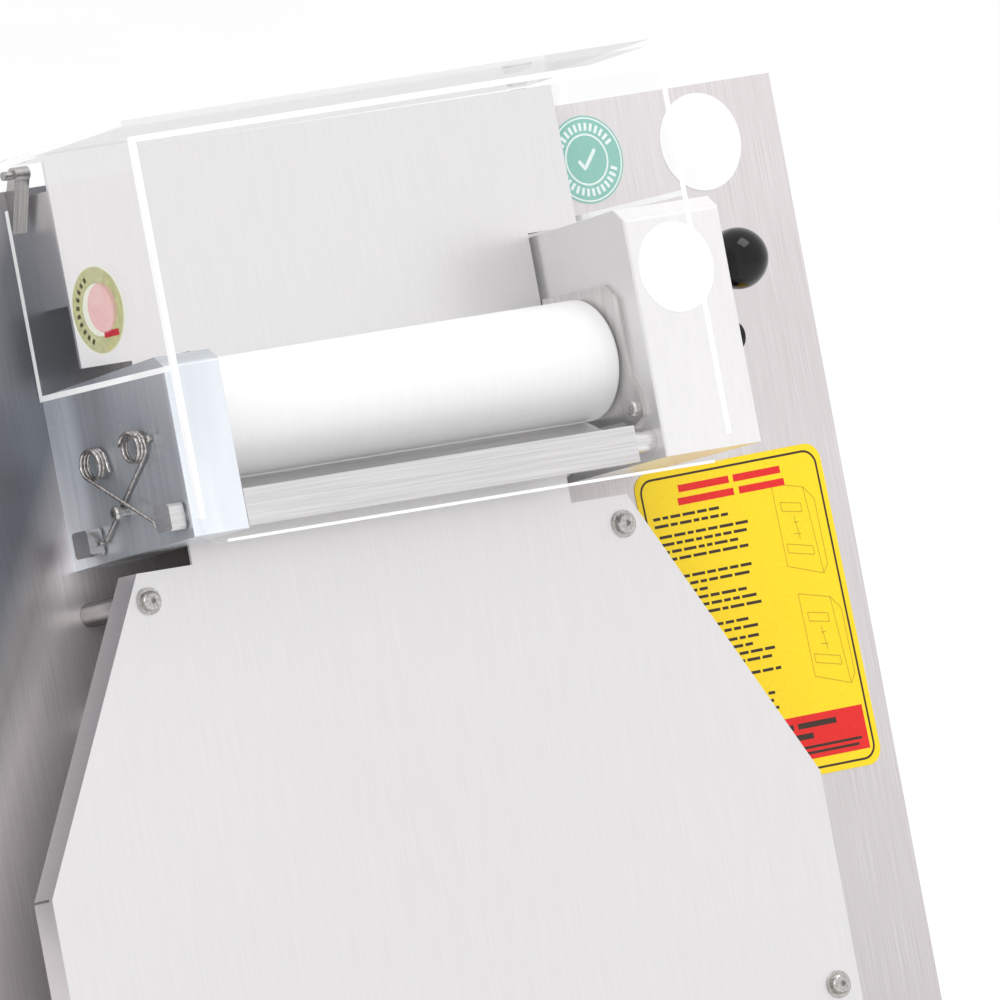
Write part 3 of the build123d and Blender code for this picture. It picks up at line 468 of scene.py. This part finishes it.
def wire_tube(head, path, radius, sides=14):
    """Tube along a path of across, forward, up points: rings square to the path, turned by the
    direction across the machine, with each end drawn in to a blunt tip."""
    ahead = np.gradient(path, axis=0)
    ahead /= np.linalg.norm(ahead, axis=1)[:, None]
    side = np.cross(ahead, np.array([1.0, 0.02, 0.01]))
    side /= np.linalg.norm(side, axis=1)[:, None]
    other = np.cross(ahead, side)
    angle = np.linspace(0, 2 * math.pi, sides, endpoint=False)
    size = np.full(len(path), radius)
    size[[0, -1]] = radius * 0.55
    ring = path[:, None, :] + size[:, None, None] * (np.cos(angle)[None, :, None] * side[:, None, :]
                                                     + np.sin(angle)[None, :, None] * other[:, None, :])
    points = in_head(head, ring[..., 0], ring[..., 1], ring[..., 2]).reshape(-1, 3)
    ends = in_head(head, path[[0, -1], 0], path[[0, -1], 1], path[[0, -1], 2])
    last = (len(path) - 1) * sides
    around = np.arange(sides)
    beside = (around + 1) % sides
    first_cap = np.stack([np.full(sides, len(points)), around, beside], 1)
    last_cap = np.stack([np.full(sides, len(points) + 1), last + beside, last + around], 1)
    faces = [*grid_faces(len(path), sides, False, True), *first_cap, *last_cap]
    return np.concatenate([points, ends]), faces


def spring_path(side, coil, anchor, hook, hand, near):
    """A helix of close turns between two straight legs: the long leg leaves the coil on a tangent
    to its hook, from the turn near the bracket or the far one, and the short one runs from the
    other end of the coil to its anchor."""
    reach = np.array(hook) - np.array(coil)
    length = math.hypot(*reach)
    tangent_angle = math.atan2(reach[1], reach[0]) - hand * math.acos(COIL / length)
    sweep = hand * np.linspace(0, 2 * math.pi * TURNS, 110)
    angle = tangent_angle - sweep
    turns = np.abs(sweep) / (2 * math.pi)
    across = side - STAND_OFF - PITCH * (turns if near else TURNS - turns)
    helix = np.stack([across, coil[0] + COIL * np.cos(angle), coil[1] + COIL * np.sin(angle)], -1)
    start, end = helix[0], helix[-1]
    tip = np.array([start[0], *hook])
    inward = (start - tip) / np.linalg.norm(start - tip)
    long_leg = tip + np.linspace(0, 1, 24)[:-1, None] * (start - tip)
    bend = np.linspace(0, 1, 9)[:-1, None]
    hooked = tip - np.array([HOOK, 0, 0]) * (1 - bend) + inward * 0.6 * (bend - 1)
    short_end = np.array([end[0], *anchor])
    short_leg = end + np.linspace(0, 1, 12)[1:, None] * (short_end - end)
    return np.concatenate([hooked, long_leg, helix, short_leg])


# Each spring's coil, anchor and hook, forward and up, its hand, and where its long leg starts.
SPRINGS = {"front": ((-17.5, -10.5), (-9.5, -15.5), (26.6, -43.2), 1, False),
           "rear": ((15, -7), (24, -1.5), (-22.6, -45.3), -1, True)}
for head, side in BRACKET_SIDE.items():
    for which, lie in SPRINGS.items():
        points, faces = wire_tube(head, spring_path(side, *lie), WIRE)
        spring = mesh_piece(f"{head}_{which}_spring_wire", points, faces, spring_wire)
        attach(spring, "frame")
        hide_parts(f"{head}_{which}_spring")

# -------------------------------------------------------------- right housings
# Cast aluminium gear housings, satin white on the outside and polished on the inner wall beside the rollers,
# where the colour is darkened as painted shade, with a broken front edge and a chamfered top.
INNER_WALL = {"upper": 120.0, "lower": 208.0}            # across
for head, plane in INNER_WALL.items():
    casting = surface(head + "_cast_housing", srgb(239, 237, 237), srgb(231, 229, 229), (0.3, 0.42), 0.6,
                      (500, 30, 90), LEAN, 0.00002, 8.0, 0.5)
    inner_wall = float(HEADS[head][0]) + plane / 1000
    # painted shade: the inner wall's colour darkened to 0.8
    tone_along(casting, (1, 0, 0), [(inner_wall - 0.004, 0.8), (inner_wall + 0.0004, 0.8),
                                    (inner_wall + 0.0012, 1.0), (inner_wall + 0.054, 1.0)])
    finish_nodes(casting, head + "_right_housing")

# --------------------------------------------------------------------- rollers
# White food-grade plastic sleeves turned on steel cores: a faint turning mark runs
# round them, and their ends are rounded.
roller_plastic = surface("roller_plastic", srgb(238, 238, 238), srgb(232, 232, 233), (0.3, 0.42), 0.0,
                         (1500, 3, 3), relief=0.00001, wear=6)
roller_shader = roller_plastic.node_tree.nodes["Principled BSDF"]
roller_shader.inputs["Subsurface Weight"].default_value = 0.15
roller_shader.inputs["Subsurface Radius"].default_value = (0.004, 0.004, 0.004)
for head in HEADS:
    finish_nodes(roller_plastic, head + "_front_roller", head + "_rear_roller")

# Thin pressed retainer plates behind the rollers' ends, and ground scraper bars
# with a thin blade under each roller.
pressed_plate = surface("pressed_plate", srgb(222, 219, 218), srgb(190, 187, 187), (0.22, 0.36), 1.0,
                        (60, 500, 60), LEAN, 0.00002)
finish_nodes(pressed_plate, "roller_end_plates")
ground_bar = surface("ground_bar", srgb(232, 230, 230), srgb(200, 198, 199), (0.2, 0.34), 1.0,
                     (14, 900, 900), LEAN, 0.00002)
for head in HEADS:
    finish_nodes(ground_bar, head + "_front_scraper", head + "_rear_scraper")

# ------------------------------------------------------------------ gap cranks
# Polished black phenolic ball and hub cap on a bright turned crank.
phenolic = surface("black_phenolic", srgb(22, 22, 23), srgb(8, 8, 9), (0.06, 0.16), 0.0,
                   (200, 200, 200), wear=25)
phenolic_shader = phenolic.node_tree.nodes["Principled BSDF"]
phenolic_shader.inputs["Coat Weight"].default_value = 0.12
phenolic_shader.inputs["Coat Roughness"].default_value = 0.04
phenolic_shader.inputs["Specular IOR Level"].default_value = 0.25
finish_nodes(phenolic, "upper_lever_knob", "lower_lever_knob")

# --------------------------------------------------------------- infeed plates
# Satin stainless guide sheets above each nip, hooked back to the face.
guide_sheet = surface("guide_sheet", srgb(234, 232, 233), srgb(227, 225, 226), (0.3, 0.42), 1.0,
                      (1400, 1, 30), LEAN, 0.00001, wear=2.5)
finish_nodes(guide_sheet, "upper_infeed_plate", "lower_infeed_plate")

# ------------------------------------------------------------ hood and guard
# Clear acrylic covers, 3 mm, solvent-welded, with flame-polished edges and light
# handling marks; each hangs on two pins of the lugs on the face.  They are see-through
# square on, and glare more towards a glancing view, by the fifth power.
acrylic = surface("clear_acrylic", (0.98, 0.985, 0.985), (0.95, 0.96, 0.96), (0.03, 0.09), 0.9, (30, 30, 30),
                  wear=14)
acrylic_shader = acrylic.node_tree.nodes["Principled BSDF"]
facing = acrylic.node_tree.nodes.new("ShaderNodeLayerWeight")
facing.inputs["Blend"].default_value = 0.5
glance = acrylic.node_tree.nodes.new("ShaderNodeMath")
glance.operation = "POWER"
glance.inputs[1].default_value = 5
acrylic.node_tree.links.new(facing.outputs["Facing"], glance.inputs[0])
veil = acrylic.node_tree.nodes.new("ShaderNodeMapRange")
veil.inputs["To Min"].default_value, veil.inputs["To Max"].default_value = 0.045, 0.8
acrylic.node_tree.links.new(glance.outputs[0], veil.inputs["Value"])
acrylic.node_tree.links.new(veil.outputs[0], acrylic_shader.inputs["Alpha"])
finish_nodes(acrylic, "upper_hood", "lower_guard")
for cover in ("upper_hood", "lower_guard"):  # the room's light passes through them undimmed
    nodes[cover].visible_diffuse = nodes[cover].visible_glossy = nodes[cover].visible_shadow = False

# A round see-through inspection sticker on the hood's left wall: an olive rim with
# plain dark marks, a pink field and a red bar, with no print.
def see_through(film, alpha):
    """Lets what lies behind a film show through it."""
    film.node_tree.nodes["Principled BSDF"].inputs["Alpha"].default_value = alpha


tinted_film = surface("tinted_film", srgb(232, 238, 205), srgb(222, 230, 190), (0.3, 0.45), 0.0,
                      (300, 300, 300))
see_through(tinted_film, 0.3)
finish_nodes(tinted_film, "hood_sticker")
HOOD_STICKER_AT = (8.0, 56.0)                            # its middle, forward and up
HOOD_STICKER_FACE = -144.8                               # across


def on_hood(forward_by, down_by, proud):
    """Head points from mm forward of and below the hood sticker's middle, and proud of it."""
    return in_head("upper", HOOD_STICKER_FACE - proud, HOOD_STICKER_AT[0] + forward_by,
                   HOOD_STICKER_AT[1] - down_by)


def on_pink(forward_by, down_by, proud):
    """Hood points from the pink field's middle, which lies forward of the sticker's."""
    return on_hood(forward_by + 3.5, down_by - 0.5, proud)


def hood_print(name, part, ink):
    """A print layer of the hood's sticker."""
    return printed(name, part, ink, "upper_hood")


olive_ink = surface("olive_ink", srgb(206, 204, 112), srgb(150, 150, 66), (0.35, 0.5), 0.0, (500, 500, 500),
                    wear=60)
see_through(olive_ink, 0.42)
hood_print("hood_sticker_rim", closed_band(on_hood, circle(15.6), 7.6, INK), olive_ink)
pink_ink = surface("pink_ink", srgb(244, 190, 192), srgb(238, 172, 176), (0.35, 0.5), 0.0, (500, 500, 500))
see_through(pink_ink, 0.45)
hood_print("hood_sticker_field", closed_band(on_pink, circle(5.6), 11.0, 0.09), pink_ink)
crimson_ink = surface("crimson_ink", srgb(196, 30, 52), srgb(170, 20, 40), (0.35, 0.5), 0.0, (500, 500, 500))
hood_print("hood_sticker_bar", flat_bars(on_hood, [(1.5, 11.4)], [(13.0, 11.4)], 3.0, TOP_INK), crimson_ink)
rim_angles = np.radians(np.arange(120, 250, 14.0))
rim_marks = np.stack([np.cos(rim_angles), np.sin(rim_angles)], -1)
dark_ink = surface("dark_olive_ink", srgb(84, 80, 40), srgb(58, 54, 30), (0.35, 0.5), 0.0, (500, 500, 500))
hood_print("hood_sticker_marks", flat_bars(on_hood, 14.2 * rim_marks, 16.6 * rim_marks, 1.8, 0.08), dark_ink)

# Painted highlights on the covers' edges, where the sheet's cut ends are welded and flame-polished: narrow
# white see-through bands along the corners of both covers stand in for their glints.
painted_edge_glint = surface("painted_edge_glint", (0.97, 0.975, 0.975), (0.9, 0.91, 0.92), (0.08, 0.2), 0.0,
                        (40, 40, 40), wear=30)
see_through(painted_edge_glint, 0.82)
EDGE = 2.6                   # width of a band
EDGE_PROUD = 0.04
COVER_FRONT = 56.5           # forward
CORNER = 12                  # left free at the front wall's rounded lower corners
NOTCH = 22                   # left free at the rear for the lug's notch


def cover_edges(head, left, right, top_line, left_foot, right_foot, front_foot):
    """Bands along a cover's corners: on each end wall down its front and rear and along its top
    and foot, and on the front wall along its two sides, its ridge and its foot."""
    (rear, rear_top), (ridge, ridge_top), (_, front_top) = top_line
    half = EDGE / 2

    def on_wall(wall, side):
        """Head points from forward, up and proud on an end wall, on its outer side."""
        return lambda forward, up, proud: in_head(head, wall + side * proud, forward, up)

    def on_front(across, up, proud):
        """Head points from across, up and proud on the front wall."""
        return in_head(head, across, COVER_FRONT + proud, up)

    parts = []
    for wall, side, foot in ((left, -1, left_foot), (right, 1, right_foot)):
        bars = [((COVER_FRONT - half, front_foot + CORNER), (COVER_FRONT - half, front_top)),
                ((rear + half, foot), (rear + half, rear_top - NOTCH)),
                ((rear + 10, rear_top - half + 0.4), (ridge, ridge_top - half)),
                ((rear, foot + half), (COVER_FRONT - EDGE, foot + half))]
        starts, ends = np.array(bars, float).transpose(1, 0, 2)
        parts.append(flat_bars(on_wall(wall, side), starts, ends, EDGE, EDGE_PROUD))
    bars = [((left + half, front_foot + CORNER), (left + half, front_top - EDGE)),
            ((right - half, front_foot + CORNER), (right - half, front_top - EDGE)),
            ((left, front_top - half), (right, front_top - half)),
            ((left + CORNER, front_foot + half / 2), (right - CORNER, front_foot + half / 2))]
    starts, ends = np.array(bars, float).transpose(1, 0, 2)
    parts.append(flat_bars(on_front, starts, ends, np.array([EDGE, EDGE, EDGE, half]), EDGE_PROUD))
    return merged(*parts)


# Each cover's end walls across, its top line forward and up, and the feet of its left,
# right and front walls.
COVERS = {"upper_hood": ("upper", -144.5, 149.0, [(-50, 130.7), (51.5, 135.5), (56.5, 127.5)], 22, 63.5, -57),
          "lower_guard": ("lower", -251.5, 237.0, [(5, 87), (51.5, 88), (56.5, 80)], 22, 63.5, -57)}
for cover, shape in COVERS.items():
    edges = printed(cover + "_edges", cover_edges(*shape), painted_edge_glint, cover)
    edges.visible_shadow = edges.visible_diffuse = edges.visible_glossy = False

# ------------------------------------------------------------------------ drive
# Painted finned motor, raw cast worm gearbox and pedestal, and oiled chains, all
# inside the body.
motor_paint = surface("motor_paint", srgb(60, 74, 92), srgb(44, 56, 72), (0.4, 0.6), 0.0, (250, 250, 250),
                      relief=0.0001)
finish_nodes(motor_paint, "motor")
raw_casting = surface("raw_casting", srgb(176, 174, 172), srgb(138, 136, 135), (0.5, 0.7), 1.0,
                      (700, 700, 700), relief=0.0002)
finish_nodes(raw_casting, "gearbox", "outboard_bearing")
oiled_chain = surface("oiled_chain", srgb(120, 112, 104), srgb(60, 54, 50), (0.25, 0.45), 1.0,
                      (400, 400, 400), relief=0.0001)
finish_nodes(oiled_chain, "drive_chains")

# --------------------------------------------------------------------- controls
# Moulded switch box and inlet, and two gloss push buttons let into the right side.
moulded_black = surface("moulded_black", srgb(38, 38, 39), srgb(22, 22, 23), (0.45, 0.6), 0.0,
                        (900, 900, 900), relief=0.00005)
finish_nodes(moulded_black, "switch_box", "power_inlet")
green_cap = surface("green_cap", srgb(30, 150, 74), srgb(20, 132, 60), (0.2, 0.34), 0.0, (400, 400, 400))
finish_nodes(green_cap, "start_button")
red_cap = surface("red_cap", srgb(206, 24, 20), srgb(186, 14, 12), (0.2, 0.34), 0.0, (400, 400, 400))
finish_nodes(red_cap, "stop_button")
